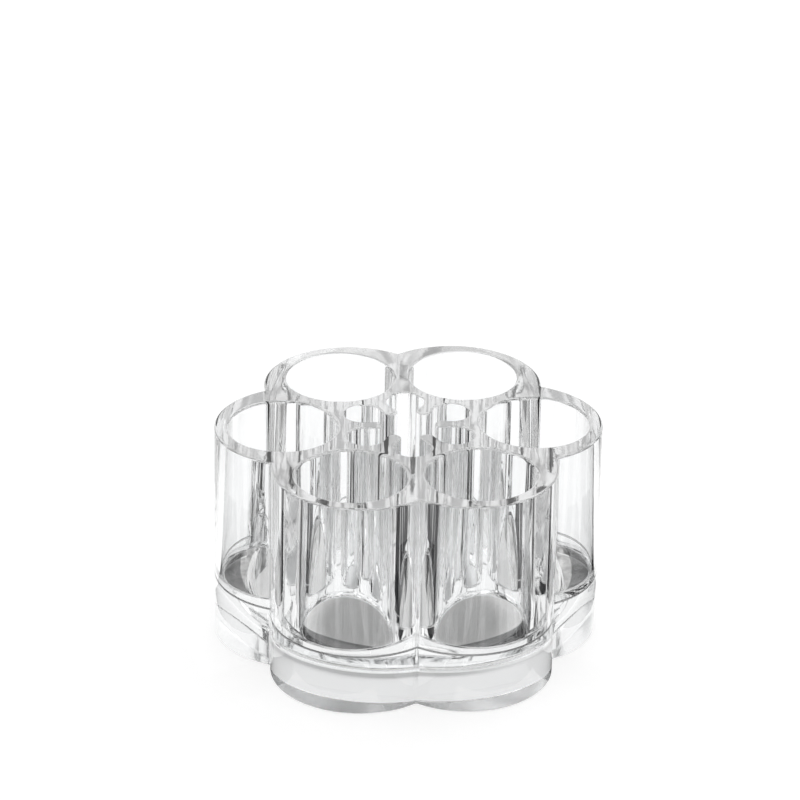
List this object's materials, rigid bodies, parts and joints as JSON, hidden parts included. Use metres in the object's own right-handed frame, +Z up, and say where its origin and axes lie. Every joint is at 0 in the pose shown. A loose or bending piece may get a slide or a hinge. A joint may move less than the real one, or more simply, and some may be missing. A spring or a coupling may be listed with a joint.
{
  "type": "vanity organizer",
  "caption": "Clear plastic vanity organizer: a flower-shaped block of round upright cells around a six-armed slot, on a hollow lobed plinth.",
  "frame": {"origin": "centre of the underside, on the surface that the organizer stands on", "axes": "+Z up through the middle slot, +X through the centre of one cell"},
  "size_m": [0.0966, 0.0896, 0.0566],
  "materials": {
    "clear_block": "polished",
    "clear_plinth": "polished"
  },
  "bodies": {
    "root": {"cell_block": "clear_block", "plinth": "clear_plinth"}
  },
  "joints": []
}
